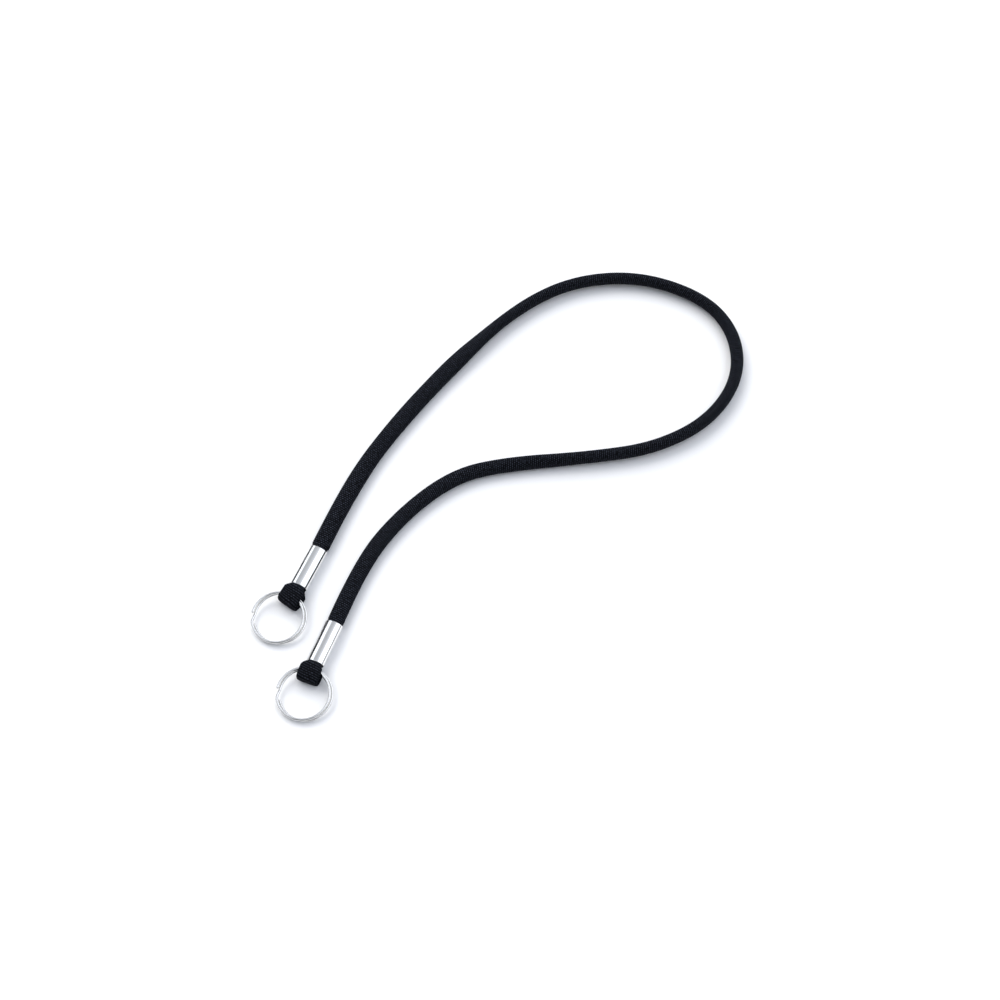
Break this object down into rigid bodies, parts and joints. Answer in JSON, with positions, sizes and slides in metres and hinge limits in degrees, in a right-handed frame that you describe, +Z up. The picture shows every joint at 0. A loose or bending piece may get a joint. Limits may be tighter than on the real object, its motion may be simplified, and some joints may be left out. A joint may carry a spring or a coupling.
{
  "type": "eyeglass retainer strap",
  "caption": "Soft knitted neck strap that keeps eyeglasses on; each end is folded round a split ring and held by an oval crimp ferrule.",
  "frame": {"origin": "middle of the two end fittings (ferrules, end loops and rings together), on the surface that the strap lies on", "axes": "+Z up from the surface; +Y from the rings towards the neck loop; +X to the right, towards the far bend of the loop"},
  "size_m": [0.2232, 0.2296, 0.0072],
  "materials": {
    "knit": "ribbed knitted polyester tube, near-black navy, matt with a faint sheen",
    "ferrule_nickel": "bright nickel plate on a thin pressed sleeve",
    "ring_nickel": "bright nickel plate on hardened spring wire"
  },
  "bodies": {
    "strap": {"neck_strap": "knit", "left_ferrule": "ferrule_nickel", "left_crimped_end": "knit", "right_ferrule": "ferrule_nickel", "right_crimped_end": "knit"},
    "left_loop": {"left_end_loop": "knit"},
    "left_ring": {"left_split_ring": "ring_nickel"},
    "right_loop": {"right_end_loop": "knit"},
    "right_ring": {"right_split_ring": "ring_nickel"}
  },
  "joints": [
    {"name": "left_loop_flex", "type": "hinge", "parent": "strap", "child": "left_loop", "pos_m": [-0.00039, 0.02069, 0.0062], "axis": [-0.9132, 0.4075, 0], "range_deg": [0, 85]},
    {"name": "left_ring_spin", "type": "hinge", "parent": "left_loop", "child": "left_ring", "pos_m": [-0.00795, 0.00659, 0.0027], "axis": [-0.0617, -0.1157, 0.9914], "continuous": true},
    {"name": "right_loop_flex", "type": "hinge", "parent": "strap", "child": "right_loop", "pos_m": [0.00875, -0.01579, 0.0062], "axis": [-0.9266, 0.376, 0], "range_deg": [0, 85]},
    {"name": "right_ring_spin", "type": "hinge", "parent": "right_loop", "child": "right_ring", "pos_m": [0.00499, -0.02907, 0.0027], "axis": [-0.0363, -0.126, 0.9914], "continuous": true}
  ]
}
